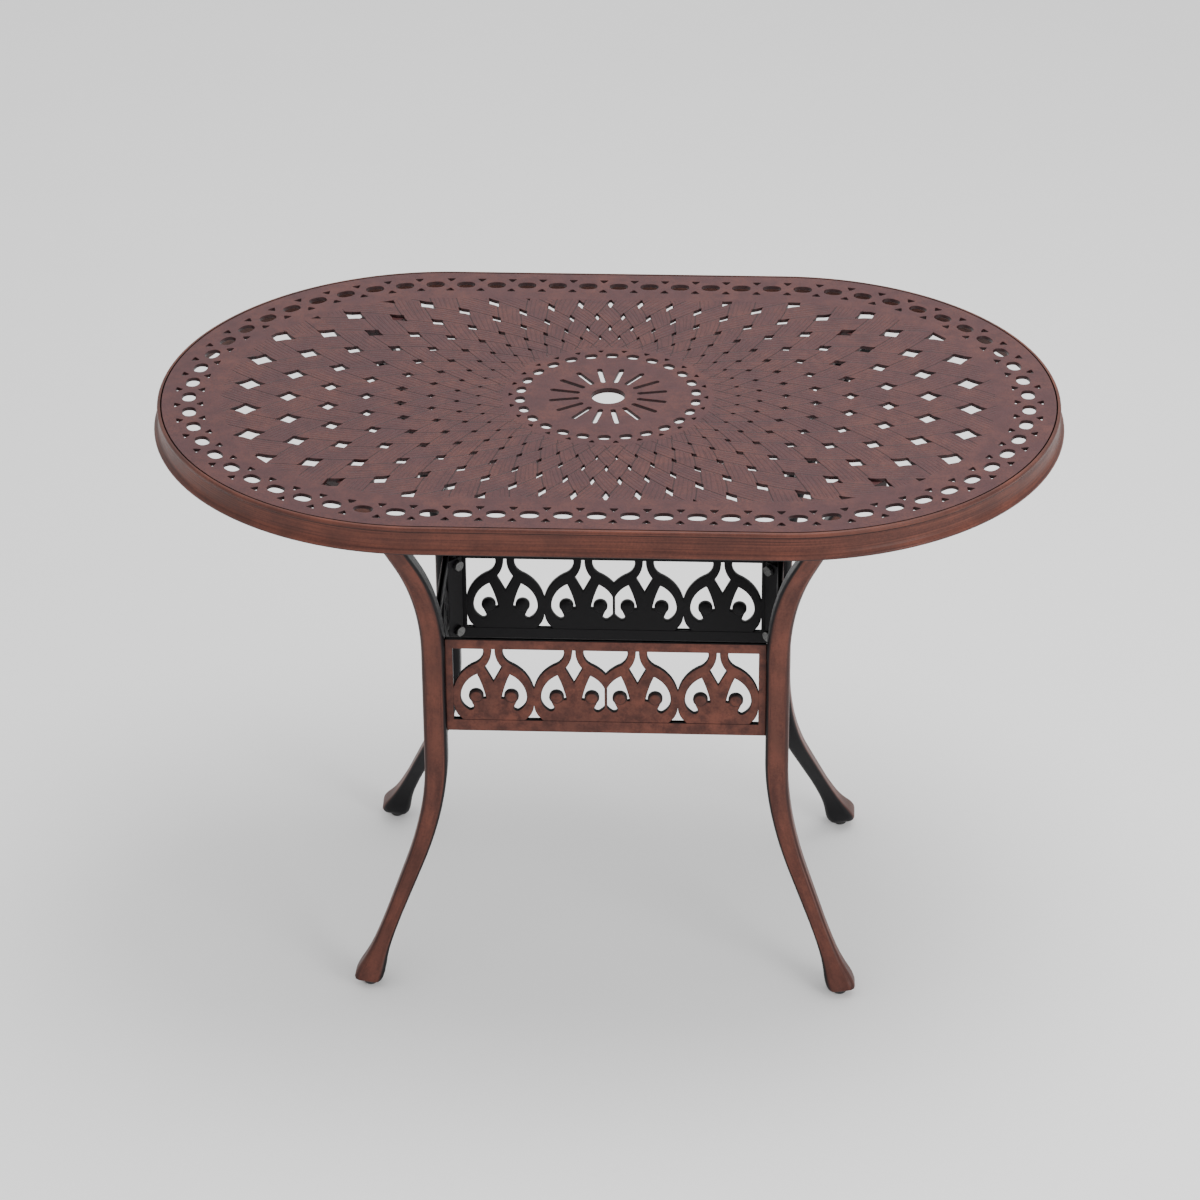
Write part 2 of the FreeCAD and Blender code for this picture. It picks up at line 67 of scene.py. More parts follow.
# Lattice of curved straps
FIELD_INSET = 0.084
STRAP_COUNT = 42
STRAP_RADIUS = 0.5237
STRAP_CENTRE_RADIUS = 0.4736
OUTER_RING_RADIUS = 0.455
RING_COUNT = 8
LATTICE_TURN = 6.2
REED_SPACING = 0.0046
GROOVE_WIDTH = 0.0012
GROOVE_CORE = 0.0002
GROOVE_DEPTH = 0.0005
GAP_SHARE_GROWTH = 0.47
GAP_SHARE_AT_MIDDLE = -0.035
NARROWEST_DIAMOND = 0.0032
SMALLEST_OPENING = 0.00001

# Medallion
OVAL_COUNT = 26
OVAL_CIRCLE_RADIUS = 0.111
OVAL_LENGTH = 0.016
OVAL_WIDTH = 0.012
SMALL_GUSSET_RADIUS = 0.1225
SMALL_GUSSET_LENGTH = 0.0084
SMALL_GUSSET_WIDTH = 0.0060
SLOT_COUNT = 16
SLOT_INNER_RADIUS = 0.037
SLOT_OUTER_RADIUS = 0.075
SLOT_WIDTH = 0.006

# Scroll panels
PANEL_BOTTOM = 0.336
PANEL_HEIGHT = 0.135
TOP_RAIL = 0.0136
BOTTOM_RAIL = 0.0168
STILE = 0.0095
FRAME_THICKNESS = 0.008
WEB_THICKNESS = 0.0068
WEB_BEVEL = 0.0016
MOTIF_HALF = 0.05135
MIDDLE_HALF = 0.0404
MIDDLE_BAR = 0.0034
BALL_RADIUS = 0.0096
BALL_OUT = 0.0225
BALL_UP = 0.051
EAR_THICKNESS = 0.004
EAR_HEIGHT = 0.120
EAR_REACH = 0.008
EAR_ROOT = 0.016
CORNER_BOLT_INSET = 0.018

# Legs
LEG_WIDTH = 0.030
LEG_TOP_WIDTH = 0.027
ANKLE_WIDTH = 0.021
FOOT_WIDTH = 0.036
ANKLE_HEIGHT = 0.090
FOOT_BOTTOM = 0.009
BEND_RADIUS = 0.370
BEND_ANGLE = math.radians(23)
UPPER_BEND_DROP = 0.020
LOWER_BEND_DROP = 0.040
PAD_DEPTH = 0.012
FLANGE_LENGTH = 0.084
FLANGE_WIDTH = 0.040
FLANGE_BEVEL = 0.010
FLANGE_THICKNESS = 0.008
FLANGE_BOLT_SPACING = 0.056
BOSS_DEPTH = 0.010

# Fasteners and glides
BOLT_RADIUS = 0.004
BOLT_HEAD = 0.013
BOLT_HEAD_HEIGHT = 0.0053
BOLT_GRIP = 0.010
HOLE_END_GAP = 0.0008
GLIDE_SPREAD = 0.086
GLIDE_RADIUS = 0.009
STUD_RADIUS = 0.004
STUD_LENGTH = 0.026

# Worked out from the sizes above
END_RADIUS = TOP_WIDTH / 2
HALF_STRAIGHT = (TOP_LENGTH - TOP_WIDTH) / 2
PLATE_BOTTOM = TABLE_HEIGHT - PLATE_THICKNESS
CHAIN_RADIUS = END_RADIUS - CHAIN_INSET
FIELD_RADIUS = END_RADIUS - FIELD_INSET
PANEL_TOP = PANEL_BOTTOM + PANEL_HEIGHT
LONG_PANEL_HALF = MIDDLE_HALF + 3 * MOTIF_HALF
SHORT_PANEL_HALF = MIDDLE_HALF + MOTIF_HALF
POST_X = LONG_PANEL_HALF + STILE + LEG_WIDTH / 2
POST_Y = SHORT_PANEL_HALF + STILE + LEG_WIDTH / 2
FLANGE_TOP = PLATE_BOTTOM - BOSS_DEPTH
FLANGE_BOTTOM = FLANGE_TOP - FLANGE_THICKNESS
UPPER_BEND_START = PANEL_TOP - UPPER_BEND_DROP
LOWER_BEND_START = PANEL_BOTTOM - LOWER_BEND_DROP
CORNER_BOLT_HEIGHTS = (PANEL_BOTTOM + CORNER_BOLT_INSET, PANEL_TOP - CORNER_BOLT_INSET)

UP = Vector((0, 0, 1))
OUTWARD = Vector((1, 1, 0)).normalized()
ACROSS = Vector((-1, 1, 0)).normalized()
CORNERS = {
    "rear_right": (1, 1),
    "rear_left": (-1, 1),
    "front_right": (1, -1),
    "front_left": (-1, -1),
}


# Outlines in a plane


def placed(outline, x, y, angle):
    """An outline drawn round the origin with X pointing outward, at its place."""
    turn = Matrix.Rotation(angle, 2)
    return [turn @ Vector(point) + Vector((x, y)) for point in outline]


def rounded(corners, reach, steps=3):
    """The outline with its corners rounded off over a distance of reach."""
    outline = []
    for index, corner in enumerate(corners):
        corner = Vector(corner)
        start = Vector(corners[index - 1]) - corner
        end = Vector(corners[(index + 1) % len(corners)]) - corner
        start *= min(reach / start.length, 0.5)
        end *= min(reach / end.length, 0.5)
        for step in range(steps + 1):
            share = step / steps
            outline.append(corner + start * (1 - share) ** 2 + end * share**2)
    return outline


def oval(width, length, steps):
    """A full oval with width along X and length along Y."""
    outline = []
    for step in range(steps):
        turn = 2 * math.pi * step / steps
        fullness = (abs(math.cos(turn)) ** 2.4 + abs(math.sin(turn)) ** 2.4) ** (-1 / 2.4)
        outline.append((width / 2 * fullness * math.cos(turn), length / 2 * fullness * math.sin(turn)))
    return outline


def arc(start, middle, end, steps):
    """Points along the circular arc through three points, without the last one."""
    a, b, c = Vector(start), Vector(middle), Vector(end)
    size = 2 * (a.x * (b.y - c.y) + b.x * (c.y - a.y) + c.x * (a.y - b.y))
    lengths = a.length_squared, b.length_squared, c.length_squared
    centre = Vector((
        lengths[0] * (b.y - c.y) + lengths[1] * (c.y - a.y) + lengths[2] * (a.y - b.y),
        lengths[0] * (c.x - b.x) + lengths[1] * (a.x - c.x) + lengths[2] * (b.x - a.x),
    )) / size
    first = math.atan2(a.y - centre.y, a.x - centre.x)
    last = math.atan2(c.y - centre.y, c.x - centre.x)
    if size > 0:
        sweep = (last - first) % (2 * math.pi)
    else:
        sweep = -((first - last) % (2 * math.pi))
    radius = (a - centre).length
    turns = [first + sweep * step / steps for step in range(steps)]
    return [centre + radius * Vector((math.cos(turn), math.sin(turn))) for turn in turns]


def mirrored(outline, line=0.0):
    """The outline mirrored left to right about an upright line."""
    return [Vector((2 * line - x, y)) for x, y in reversed(outline)]


def clipped(outline, limit):
    """The part of an outline up to X = limit."""
    kept = []
    for index, point in enumerate(outline):
        before = outline[index - 1]
        if (before[0] - limit) * (point[0] - limit) < 0:
            share = (limit - before[0]) / (point[0] - before[0])
            kept.append(Vector((limit, before[1] + share * (point[1] - before[1]))))
        if point[0] <= limit:
            kept.append(Vector(point))
    return kept


def with_mirror_image(outline, line):
    """An outline that ends on an upright line, joined there with its mirror image."""
    on_line = [abs(point[0] - line) < 1e-6 for point in outline]
    first = next(i for i in range(len(outline)) if on_line[i - 1] and not on_line[i])
    half = outline[first:] + outline[:first]
    half = [half[-1]] + [point for point in half if abs(point[0] - line) >= 1e-6] + [half[-2]]
    return half + mirrored(half, line)[1:-1]


# Meshes


def signed_area(outline):
    return sum(Vector(outline[i - 1]).cross(Vector(point)) for i, point in enumerate(outline)) / 2


def inset(outline, distance):
    """The outline moved to its left by a distance, with its corners kept."""
    line = []
    for index, point in enumerate(outline):
        before = (point - outline[index - 1]).normalized()
        after = (outline[(index + 1) % len(outline)] - point).normalized()
        left = Vector((-before.y - after.y, before.x + after.x)).normalized()
        stretch = max(left.dot(Vector((-after.y, after.x))), 0.5)
        line.append(point + left * distance / stretch)
    return line


def flat_casting(outlines, thickness, bevel, rounds=3):
    """A flat mesh round Z = 0 from its outer outline and the openings in it, with rounded edges."""
    shape = bmesh.new()
    quarter = [math.pi / 2 * step / rounds for step in range(rounds + 1)]
    flat_half = thickness / 2 - bevel
    steps = [(bevel * (1 - math.cos(turn)), flat_half + bevel * math.sin(turn)) for turn in quarter]
    levels = [(back, -height) for back, height in reversed(steps)] + steps
    points, loops, low_corners, high_corners = [], [], [], []
    for number, outline in enumerate(outlines):
        outline = [Vector(point) for point in outline]
        if (signed_area(outline) > 0) != (number == 0):
            outline.reverse()
        rows = []
        for back, height in levels:
            rows.append([shape.verts.new((*point, height)) for point in inset(outline, back)])
        for low, high in zip(rows, rows[1:]):
            for side in range(len(low)):
                shape.faces.new((low[side - 1], low[side], high[side], high[side - 1]))
        loop = range(len(points), len(points) + len(outline))
        loops.append(loop if number == 0 else loop[::-1])
        points += inset(outline, bevel)
        low_corners += rows[0]
        high_corners += rows[-1]
    places, edges, triangles, sources, edge_sources, inside = delaunay_2d_cdt(points, [], loops, 1, 1e-7)
    for corners, height in ((low_corners, -thickness / 2), (high_corners, thickness / 2)):
        found = [
            corners[source[0]] if source else shape.verts.new((*place, height))
            for place, source in zip(places, sources)
        ]
        for triangle, outlines_round_it in zip(triangles, inside):
            if len(outlines_round_it) == 1:
                shape.faces.new([found[index] for index in triangle])
    bmesh.ops.recalc_face_normals(shape, faces=shape.faces)
    mesh = bpy.data.meshes.new("casting")
    shape.to_mesh(mesh)
    shape.free()
    return mesh


def lofted(rings, closed=False, capped=True):
    """A mesh through rings of as many points each. Its UV map runs along it and round it, in metres."""
    shape = bmesh.new()
    uv_layer = shape.loops.layers.uv.new("UVMap")
    count = len(rings[0])
    rows = [[shape.verts.new(point) for point in ring] for ring in rings]
    girth = sum((Vector(rings[0][i]) - Vector(rings[0][i - 1])).length for i in range(count))
    along = [0.0]
    for low, high in zip(rings, rings[1:] + rings[:1]):
        along.append(along[-1] + (Vector(high[0]) - Vector(low[0])).length)
    for row in range(len(rows) if closed else len(rows) - 1):
        low, high = rows[row], rows[(row + 1) % len(rows)]
        for side in range(count):
            next_side = (side + 1) % count
            face = shape.faces.new((low[side], low[next_side], high[next_side], high[side]))
            round_it = (side / count * girth, (side + 1) / count * girth)
            corners = ((0, 0), (1, 0), (1, 1), (0, 1))
            for loop, (across, onward) in zip(face.loops, corners):
                loop[uv_layer].uv = (round_it[across], along[row + onward])
    if capped and not closed:
        shape.faces.new(list(reversed(rows[0])))
        shape.faces.new(rows[-1])
    bmesh.ops.recalc_face_normals(shape, faces=shape.faces)
    mesh = bpy.data.meshes.new("loft")
    shape.to_mesh(mesh)
    shape.free()
    return mesh


def turned(profile, steps=48):
    """A round mesh about Z from a profile of (radius, height) points."""
    rings = []
    for radius, height in profile:
        turns = [2 * math.pi * step / steps for step in range(steps)]
        rings.append([(radius * math.cos(turn), radius * math.sin(turn), height) for turn in turns])
    return lofted(rings)


def moved(mesh, matrix):
    mesh.transform(matrix)
    if matrix.determinant() < 0:
        mesh.flip_normals()
    return mesh


def standing(base, direction=UP):
    """The matrix that puts a shape drawn round Z at a base, along a direction."""
    return Matrix.Translation(base) @ UP.rotation_difference(direction).to_matrix().to_4x4()


def at_corner(mesh, signs):
    """A copy of the rear right corner's mesh, mirrored to the corner with these signs."""
    return moved(mesh.copy(), Matrix.Diagonal((*signs, 1, 1)))


def piece(name, meshes, material, nodes, body="table"):
    """One object from several meshes. It stands for CAD nodes and rides on their body."""
    shape = bmesh.new()
    for mesh in meshes:
        shape.from_mesh(mesh)
    whole = bpy.data.meshes.new(name)
    shape.to_mesh(whole)
    shape.free()
    whole.materials.append(material)
    whole.shade_smooth()
    made = bpy.data.objects.new(name, whole)
    bpy.context.scene.collection.objects.link(made)
    normals = made.modifiers.new("flat faces stay flat", "WEIGHTED_NORMAL")
    normals.weight = 80
    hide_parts(*nodes)
    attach(made, body)
    return made


# Tabletop


def along_oval(radius, distance):
    """Point and outward angle at a distance along a long oval, from the middle of the front."""
    half_circle = math.pi * radius
    half_way = 2 * HALF_STRAIGHT + half_circle
    if distance >= half_way:
        x, y, angle = along_oval(radius, distance - half_way)
        return -x, -y, angle + math.pi
    if distance < HALF_STRAIGHT:
        return distance, -radius, -math.pi / 2
    distance -= HALF_STRAIGHT
    if distance < half_circle:
        angle = distance / radius - math.pi / 2
        return HALF_STRAIGHT + radius * math.cos(angle), radius * math.sin(angle), angle
    return HALF_STRAIGHT - (distance - half_circle), radius, math.pi / 2


def oval_stations(radius):
    """Points and outward angles round a long oval, close together along its two ends."""
    stations = []
    for end in (1, -1):
        for step in range(73):
            angle = math.pi * (step / 72 - 0.5)
            x, y = HALF_STRAIGHT + radius * math.cos(angle), radius * math.sin(angle)
            stations.append((end * x, end * y, angle + (math.pi if end < 0 else 0)))
    return stations


def chain_openings():
    pitch = (4 * HALF_STRAIGHT + 2 * math.pi * CHAIN_RADIUS) / CHAIN_LINKS
    link = oval(CHAIN_OVAL_WIDTH, CHAIN_OVAL_LENGTH, 28)
    a, b = GUSSET_LENGTH / 2, GUSSET_WIDTH / 2
    outlines = []
    for step in range(CHAIN_LINKS):
        outlines.append(placed(link, *along_oval(CHAIN_RADIUS, step * pitch)))
        x, y, angle = along_oval(CHAIN_RADIUS, (step + 0.5) * pitch)
        for side in (-1, 1):
            middle = side * GUSSET_DISTANCE
            gusset = [(middle + side * b, -a), (middle + side * b, a), (middle - side * b, 0)]
            outlines.append(placed(rounded(gusset, 0.0022), x, y, angle))
    return outlines


def strap_turn(radius):
    """The angle between a strap's point at a radius and the middle of the strap's circle."""
    middle, strap = STRAP_CENTRE_RADIUS, STRAP_RADIUS
    return math.acos((radius**2 + middle**2 - strap**2) / (2 * radius * middle))


def ring_radius(ring):
    """Where left and right straps cross: each ring inward turns them by half a pitch."""
    middle, strap = STRAP_CENTRE_RADIUS, STRAP_RADIUS
    turn = strap_turn(OUTER_RING_RADIUS) + ring * math.pi / STRAP_COUNT
    return middle * math.cos(turn) + math.sqrt(strap**2 - (middle * math.sin(turn)) ** 2)


def diamond_size(radius, angle):
    """Length and width of a diamond: broad towards the ends, slender towards the sides."""
    end_share = math.cos(angle) ** 2
    side_share = 1 - end_share
    end_length = 0.12 * (radius - 0.27 * OUTER_RING_RADIUS)
    end_width = 0.089 * (radius - 0.25 * OUTER_RING_RADIUS)
    side_length = 0.134 * (radius - 0.14 * OUTER_RING_RADIUS)
    side_width = 0.067 * (radius - 0.22 * OUTER_RING_RADIUS)
    length = end_share * end_length + side_share * side_length
    width = end_share * end_width + side_share * side_width
    return max(length, 2 * NARROWEST_DIAMOND), max(width, NARROWEST_DIAMOND)


def diamond(length, width):
    """A diamond with slightly hollow sides and rounded corners."""
    a, b = length / 2, width / 2
    c, d = 0.44 * a, 0.44 * b
    corners = [(a, 0), (c, d), (0, b), (-c, d), (-a, 0), (-c, -d), (0, -b), (c, -d)]
    return rounded(corners, 0.0009, 2)


def within_field(outline):
    """The part of a small outline that lies inside the lattice's border."""
    middle = sum(outline, Vector((0, 0))) / len(outline)
    from_axis = Vector((middle.x - max(-HALF_STRAIGHT, min(middle.x, HALF_STRAIGHT)), middle.y))
    outward = from_axis.normalized()
    room = FIELD_RADIUS - from_axis.length
    heights = [(point - middle).dot(outward) - room for point in outline]
    kept = []
    for index, point in enumerate(outline):
        before, here = heights[index - 1], heights[index]
        if before * here < 0:
            kept.append(outline[index - 1].lerp(point, before / (before - here)))
        if here <= 0:
            kept.append(point)
    return kept


def lattice_openings():
    outlines = []
    for ring in range(RING_COUNT):
        radius = ring_radius(ring)
        for step in range(STRAP_COUNT):
            angle = math.radians(LATTICE_TURN) + (2 * step + ring % 2) * math.pi / STRAP_COUNT
            x, y = radius * math.cos(angle), radius * math.sin(angle)
            opening = within_field(placed(diamond(*diamond_size(radius, angle)), x, y, angle))
            if len(opening) > 2 and signed_area(opening) > SMALLEST_OPENING:
                outlines.append(opening)
    return outlines


def medallion_openings():
    outlines = []
    link = oval(OVAL_WIDTH, OVAL_LENGTH, 20)
    a, b = SMALL_GUSSET_LENGTH / 2, SMALL_GUSSET_WIDTH / 2
    gusset = rounded([(b, -a), (b, a), (-b, 0)], 0.0016)
    for step in range(OVAL_COUNT):
        angle = (2 * step + 1) * math.pi / OVAL_COUNT
        x, y = math.cos(angle), math.sin(angle)
        outlines.append(placed(link, OVAL_CIRCLE_RADIUS * x, OVAL_CIRCLE_RADIUS * y, angle))
        angle = 2 * step * math.pi / OVAL_COUNT
        x, y = math.cos(angle), math.sin(angle)
        outlines.append(placed(gusset, SMALL_GUSSET_RADIUS * x, SMALL_GUSSET_RADIUS * y, angle))
    side = SLOT_WIDTH / 2
    near, far = SLOT_INNER_RADIUS + side, SLOT_OUTER_RADIUS - side
    slot = arc((far, -side), (far + side, 0), (far, side), 10) + [(far, side)]
    slot += arc((near, side), (near - side, 0), (near, -side), 10) + [(near, -side)]
    for step in range(SLOT_COUNT):
        outlines.append(placed(slot, 0, 0, (2 * step + 1) * math.pi / SLOT_COUNT))
    return outlines


def plate():
    edge = [(x, y) for x, y, angle in oval_stations(END_RADIUS - RIM_LIP - RIM_WALL / 2)]
    turns = [2 * math.pi * step / 64 for step in range(64)]
    radius = UMBRELLA_HOLE_RADIUS
    hole = [(radius * math.cos(turn), radius * math.sin(turn)) for turn in turns]
    outlines = [edge, hole] + chain_openings() + lattice_openings() + medallion_openings()
    mesh = flat_casting(outlines, PLATE_THICKNESS, PLATE_BEVEL, 2)
    return moved(mesh, Matrix.Translation(UP * (PLATE_BOTTOM + PLATE_THICKNESS / 2)))


def rim():
    """The rim: a small bead under the top edge, a hollow band and a lip at the bottom."""
    lip_top = RIM_DEPTH - RIM_LIP_HEIGHT
    inner = RIM_LIP + RIM_WALL
    profile = [
        (inner, 0.0004),
        (inner - 0.001, 0),
        (RIM_LIP + 0.0022, 0),
        (RIM_LIP + 0.0009, 0.0005),
        (RIM_LIP + 0.0002, 0.0018),
        (RIM_LIP, 0.0035),
        (RIM_LIP + 0.0002, 0.0050),
        (RIM_LIP + 0.0009, 0.0062),
        (RIM_LIP + 0.0014, 0.0070),
        (RIM_LIP + 0.0014, 0.0090),
        (RIM_LIP + 0.0010, 0.0150),
        (RIM_LIP + 0.0006, 0.0220),
        (RIM_LIP + 0.0002, lip_top - 0.0010),
        (RIM_LIP - 0.0012, lip_top + 0.0006),
        (0.0022, lip_top + 0.0024),
        (0.0006, lip_top + 0.0036),
        (0, RIM_DEPTH - 0.0028),
        (0.0008, RIM_DEPTH - 0.0010),
        (0.0026, RIM_DEPTH),
        (inner - 0.001, RIM_DEPTH),
        (inner, RIM_DEPTH - 0.001),
        (inner, 0.006),
    ]
    rings = []
    for x, y, angle in oval_stations(END_RADIUS):
        inward = Vector((-math.cos(angle), -math.sin(angle), 0))
        edge = Vector((x, y, TABLE_HEIGHT))
        rings.append([edge + inward * back - UP * drop for back, drop in profile])
    return lofted(rings, closed=True)


def collar():
    """The low ring under the plate round the umbrella hole, a little wider where it meets the plate."""
    inner, outer = UMBRELLA_HOLE_RADIUS, UMBRELLA_HOLE_RADIUS + COLLAR_WALL
    top, bottom = PLATE_BOTTOM, PLATE_BOTTOM - COLLAR_DEPTH
    profile = [
        (inner + 0.0002, top + 0.001),
        (inner + 0.0002, bottom + 0.0004),
        (inner + 0.0006, bottom),
        (outer - 0.0010, bottom),
        (outer - 0.0003, bottom + 0.0003),
        (outer, top - 0.0008),
        (outer + 0.001, top + 0.0005),
    ]
    turns = [2 * math.pi * step / 64 for step in range(64)]
    rings = [[(r * math.cos(turn), r * math.sin(turn), z) for r, z in profile] for turn in turns]
    return lofted(rings, closed=True)


def leg_top_point(z):
    middle = leg_point(FLANGE_TOP)
    middle.z = z
    return middle


def flange_block(z, thickness):
    """The long block with bevelled corners that a leg's flange and the top's boss share."""
    a, b = FLANGE_LENGTH / 2, FLANGE_WIDTH / 2
    c, d = a - FLANGE_BEVEL, b - FLANGE_BEVEL
    corners = [(a, -d), (a, d), (c, b), (-c, b), (-a, d), (-a, -d), (-c, -b), (c, -b)]
    mesh = flat_casting([rounded(corners, 0.003)], thickness, 0.0009)
    turn = Matrix.Rotation(math.radians(135), 4, "Z")
    return moved(mesh, Matrix.Translation(leg_top_point(z + thickness / 2)) @ turn)


def tabletop():
    boss = flange_block(FLANGE_TOP, BOSS_DEPTH + 0.0005)
    bosses = [at_corner(boss, signs) for signs in CORNERS.values()]
    material = bronze("bronze_tabletop", tabletop_brushing_and_shade, OBJECT_STREAKS, TOP_COLOURS_WITH_PAINTED_SHEEN, 0.5, lattice_relief)
    piece("tabletop_plate", [plate()], material, ["table_top"])
    rim_material = bronze("bronze_rim", rim_brushing_and_shade, RIM_STREAKS, SIDE_COLOURS)
    piece("tabletop_rim", [rim()], rim_material, ["table_top"])
    under_material = bronze("bronze_underside", tabletop_brushing_and_shade, OBJECT_STREAKS, TOP_COLOURS_WITH_PAINTED_SHEEN)
    piece("umbrella_collar", [collar()], under_material, ["table_top"])
    piece("leg_bosses", bosses, under_material, ["table_top"])


# Legs


def leg_offset(z):
    """How far the leg's middle line stands out from its post, along X and along Y alike."""
    rise = max(z - UPPER_BEND_START, LOWER_BEND_START - z, 0)
    bend_rise = BEND_RADIUS * math.sin(BEND_ANGLE)
    if rise < bend_rise:
        return BEND_RADIUS - math.sqrt(BEND_RADIUS**2 - rise**2)
    bend_out = BEND_RADIUS * (1 - math.cos(BEND_ANGLE))
    return bend_out + (rise - bend_rise) * math.tan(BEND_ANGLE)


def leg_point(z):
    out = leg_offset(z)
    return Vector((POST_X + out, POST_Y + out, z))


def leg_width(z):
    """The leg thins towards the ankle and, a little, towards the top."""
    if z > PANEL_TOP:
        share = (z - PANEL_TOP) / (FLANGE_TOP - PANEL_TOP)
        return LEG_WIDTH + share * (LEG_TOP_WIDTH - LEG_WIDTH)
    if z > LOWER_BEND_START:
        return LEG_WIDTH
    share = (LOWER_BEND_START - z) / (LOWER_BEND_START - ANKLE_HEIGHT)
    return LEG_WIDTH + min(share, 1) * (ANKLE_WIDTH - LEG_WIDTH)


def leg_ring(z, width, tilt=0.0):
    """A square with rounded corners round the leg's middle line. With a tilt, its outer side is higher."""
    a = width / 2
    corner = 0.24 * width
    centre = leg_point(z)
    ring = []
    for quarter in range(4):
        turn = Matrix.Rotation(quarter * math.pi / 2, 2)
        for step in range(6):
            angle = math.pi / 2 * step / 5
            side = Vector((a - corner + corner * math.cos(angle), a - corner + corner * math.sin(angle)))
            x, y = turn @ side
            rise = math.sin(tilt) * (x + y) / math.sqrt(2)
            ring.append(centre + Vector((x, y, rise)))
    return ring


def foot_rings():
    """The trumpet foot below the ankle, from the bottom up."""
    rise = ANKLE_HEIGHT - FOOT_BOTTOM
    flare = FOOT_WIDTH - ANKLE_WIDTH
    steps = (
        (0.000, 0.10), (0.000, 0.42), (0.012, 0.72), (0.040, 0.90), (0.080, 0.99), (0.120, 1.00),
        (0.170, 0.95), (0.230, 0.82), (0.300, 0.62), (0.380, 0.42), (0.470, 0.25), (0.580, 0.12),
        (0.700, 0.05), (0.850, 0.01),
    )
    rings = []
    for height, grown in steps:
        tilt = math.radians(14) * (1 - height)
        width = ANKLE_WIDTH + grown * flare
        rings.append(leg_ring(FOOT_BOTTOM + height * rise, width, tilt))
    inner_ring = leg_ring(FOOT_BOTTOM, 0.010, math.radians(14))
    return [inner_ring] + rings


def leg_bar():
    rings = foot_rings()
    count = 90
    for step in range(count):
        z = ANKLE_HEIGHT + (FLANGE_BOTTOM - ANKLE_HEIGHT) * step / count
        rings.append(leg_ring(z, leg_width(z)))
    for height, grown in ((0, 0.0005), (0.004, 0.0016), (0.0065, 0.0036), (0.0082, 0.0062)):
        z = FLANGE_BOTTOM - 0.008 + height
        rings.append(leg_ring(z, leg_width(z) + 2 * grown))
    rings.append(leg_ring(FLANGE_BOTTOM + 0.004, LEG_TOP_WIDTH))
    return lofted(rings)


def leg_points_under_flange():
    middle = leg_top_point(0)
    return [middle + ACROSS * side * FLANGE_BOLT_SPACING / 2 for side in (-1, 1)]


def legs():
    material = bronze("bronze_legs", leg_brushing_and_shade, UV_STREAKS, SIDE_COLOURS)
    bar = leg_bar()
    flange = flange_block(FLANGE_BOTTOM, FLANGE_THICKNESS)
    for corner, signs in CORNERS.items():
        meshes = [at_corner(bar, signs), at_corner(flange, signs)]
        piece("leg_casting_" + corner, meshes, material, ["leg_" + corner])


# Scroll panels, drawn flat with the stem of a pair of scrolls at X = 0 and the panel's bottom at Y = 0


def scroll_opening():
    """The drop-shaped opening round the ball of a scroll."""
    tip, shoulder = (0.0210, 0.0838), (0.0420, 0.0530)
    toe, hook = (0.0310, 0.0312), (0.0256, 0.0356)

    def ball(degrees):
        turn = math.radians(degrees)
        return (BALL_OUT + BALL_RADIUS * math.cos(turn), BALL_UP + BALL_RADIUS * math.sin(turn))

    outline = arc(tip, (0.0356, 0.0710), shoulder, 10)
    outline += arc(shoulder, (0.0394, 0.0396), toe, 10)
    outline += arc(toe, (0.0276, 0.0319), hook, 4)
    outline += [hook]
    outline += arc(ball(-45), ball(80), ball(200), 20)
    outline += [ball(200)]
    outline += arc((0.0100, 0.0484), (0.0146, 0.0670), tip, 6)
    return outline


def upper_spandrel():
    """Half of the opening between two scrolls, under the top rail."""
    rail = PANEL_HEIGHT - TOP_RAIL
    start, neck, low = (0.0129, rail), (0.0220, 0.1008), (MOTIF_HALF, 0.0636)
    outline = arc(start, (0.0146, 0.1086), neck, 6) + arc(neck, (0.0406, 0.0864), low, 12)
    return outline + [low, (MOTIF_HALF, rail)]


def lower_spandrel():
    """Half of the small opening between two scrolls, over the bottom rail."""
    base, tip = (MOTIF_HALF - 0.0109, BOTTOM_RAIL), (MOTIF_HALF, 0.0382)
    outline = arc(base, (MOTIF_HALF - 0.0040, 0.0248), tip, 6)
    return outline + [tip, (MOTIF_HALF, BOTTOM_RAIL)]


def stem_opening():
    """The slender diamond over a stem."""
    side = arc((0.0020, PANEL_HEIGHT - TOP_RAIL), (0.0039, 0.1066), (0.0106, 0.0944), 6)
    side += [Vector((0.0106, 0.0944))]
    return side + [(0, 0.0736)] + mirrored(side)


def panel_openings(pairs):
    """All openings of a panel: its right half, its mirror image and the opening in the middle."""
    right = []
    for pair in range(pairs):
        stem = MIDDLE_HALF + 2 * pair * MOTIF_HALF
        inner_limit = MIDDLE_HALF - MIDDLE_BAR / 2 if pair == 0 else MOTIF_HALF
        outlines = [scroll_opening(), mirrored(clipped(scroll_opening(), inner_limit)), stem_opening()]
        for half in (upper_spandrel(), lower_spandrel()):
            if pair == pairs - 1:
                outlines.append(half)
            else:
                outlines.append(with_mirror_image([Vector(point) for point in half], MOTIF_HALF))
        right += [placed(outline, stem, 0, 0) for outline in outlines]
    middle = with_mirror_image(clipped(upper_spandrel(), MIDDLE_HALF), MIDDLE_HALF)
    return right + [mirrored(outline) for outline in right] + [placed(middle, -MIDDLE_HALF, 0, 0)]


def rectangle(x0, y0, x1, y1):
    return [(x0, y0), (x1, y0), (x1, y1), (x0, y1)]


def ball_dome():
    """A shallow dome with a rounded foot, for the ball of a scroll."""
    radius, rise = BALL_RADIUS - 0.0010, 0.0026
    turns = [math.pi / 2 * step / 8 for step in range(8)]
    profile = [(radius * math.cos(turn), rise * math.sin(turn)) for turn in turns]
    return turned([(radius, -0.0008)] + profile + [(0.0004, rise)], 32)


